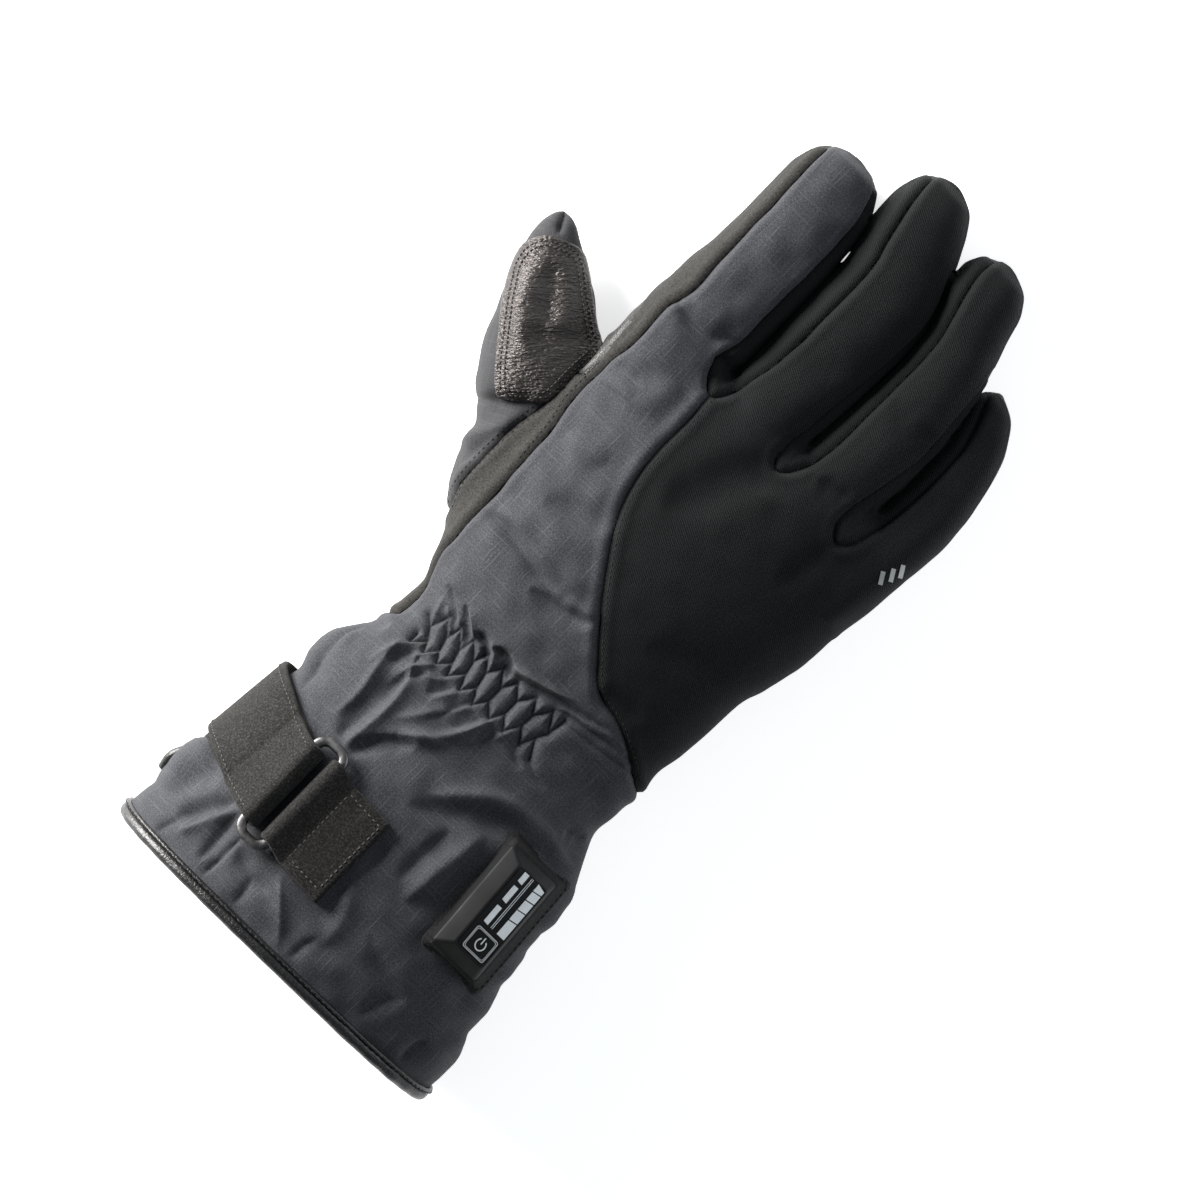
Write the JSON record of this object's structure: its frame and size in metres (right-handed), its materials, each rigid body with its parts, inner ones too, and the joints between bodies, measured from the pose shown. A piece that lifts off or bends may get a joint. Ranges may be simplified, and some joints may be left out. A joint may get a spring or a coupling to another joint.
{
  "type": "heated gauntlet glove",
  "caption": "Padded gauntlet glove for the right hand, lying on its palm, with a gathered wrist, an adjusting strap with a metal loop, and a heat control on the cuff.",
  "frame": {"origin": "under the middle of the whole glove, on the surface that it lies on", "axes": "+X towards the little finger, +Y from the hem to the fingertips, +Z out of the back of the hand"},
  "size_m": [0.17, 0.3326, 0.0681],
  "materials": {
    "nylon": "matt slub-woven nylon",
    "softshell": "matt fine twill softshell",
    "stretch": "matt knitted stretch cloth",
    "thumb_cloth": "matt woven cloth",
    "leather": "satin grained leather",
    "binding": "smooth satin leather binding",
    "suede": "matt suede strap",
    "loop_metal": "dark gunmetal plating",
    "control_rubber": "soft matt rubber",
    "control_gloss": "satin plastic face"
  },
  "bodies": {
    "root": {"nylon_shell": "nylon", "softshell_back": "softshell", "palm": "leather", "side_gusset": "stretch", "fourchette_index_middle": "softshell", "fourchette_middle_ring": "softshell", "fourchette_ring_little": "softshell", "thumb": "thumb_cloth", "thumb_patch": "leather", "hem_binding": "binding", "strap": "suede", "strap_loop": "loop_metal", "strap_tab": "suede", "control_backing": "nylon", "control_housing": "control_rubber", "control_face": "control_gloss"}
  },
  "joints": []
}
